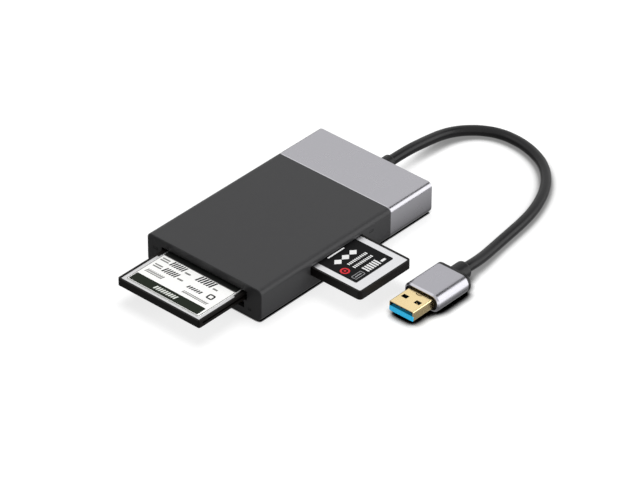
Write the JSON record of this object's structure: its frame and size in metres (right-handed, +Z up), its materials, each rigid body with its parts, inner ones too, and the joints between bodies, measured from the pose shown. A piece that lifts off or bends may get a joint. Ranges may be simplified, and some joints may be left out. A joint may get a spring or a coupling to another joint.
{
  "type": "usb memory card reader",
  "caption": "Slim memory card reader: black shell with metal end cap, card slots at front and side, USB ports, and a short fixed cable with a USB plug; cards stand in the slots.",
  "frame": {"origin": "middle of the housing's underside, on the surface it rests on", "axes": "+Y runs along the housing to the cable end, -Y to the front slots, +X to the side card slot, +Z up"},
  "size_m": [0.1068, 0.1877, 0.0147],
  "materials": {
    "shell_black": "fine matt moulded plastic",
    "inner_plastic": "moulded, matt",
    "cap_aluminium": "bead-blasted and anodised grey, bright chamfers",
    "sleeve_aluminium": "satin anodised grey",
    "board_laminate": "green solder mask",
    "steel": "plated sheet",
    "gilt": "gold plated",
    "insert_blue": "moulded blue",
    "chip_resin": "moulded resin",
    "capacitor_ceramic": "matt with tinned ends",
    "cable_rubber": "smooth satin jacket",
    "wire_jacket": "coloured conductor jackets",
    "card_plastic": "moulded black",
    "card_steel": "fine brushed",
    "card_silver": "satin silver",
    "label_white": "printed film",
    "label_black": "printed film"
  },
  "bodies": {
    "root": {"front_shell": "shell_black", "rear_cap": "cap_aluminium", "joining_frame": "inner_plastic", "main_board": "board_laminate", "board_screws": "steel", "wide_guide_left": "inner_plastic", "wide_guide_right": "inner_plastic", "wide_header": "inner_plastic", "wide_pins": "gilt", "side_socket_cover": "steel", "side_socket_base": "inner_plastic", "side_socket_contacts": "gilt", "camera_socket_cover": "steel", "camera_socket_base": "inner_plastic", "camera_socket_contacts": "gilt", "phone_socket_cover": "steel", "phone_socket_base": "inner_plastic", "phone_socket_contacts": "gilt", "front_port_shell": "steel", "front_port_tongue": "insert_blue", "front_port_contacts": "gilt", "rear_port_shell": "steel", "rear_port_tongue": "insert_blue", "rear_port_contacts": "gilt", "hub_chip": "chip_resin", "reader_chip": "chip_resin", "bridge_chip": "chip_resin", "crystals": "steel", "voltage_regulator": "chip_resin", "power_inductor": "chip_resin", "capacitors": "capacitor_ceramic", "cable_boot": "cable_rubber", "cable_stub": "cable_rubber", "braid_ferrule": "steel", "cable_wires": "wire_jacket", "cable": "cable_rubber", "plug_sleeve": "sleeve_aluminium", "plug_core": "cable_rubber", "plug_tip": "gilt", "plug_insert": "insert_blue", "plug_contacts": "gilt", "wide_card_frame": "card_plastic", "wide_card_connector": "card_plastic", "wide_card_top_cover": "card_steel", "wide_card_bottom_cover": "card_steel", "wide_card_label": "label_white", "side_card_frame": "card_plastic", "side_card_top_cover": "card_silver", "side_card_bottom_cover": "card_silver", "side_card_label": "label_black"}
  },
  "joints": []
}
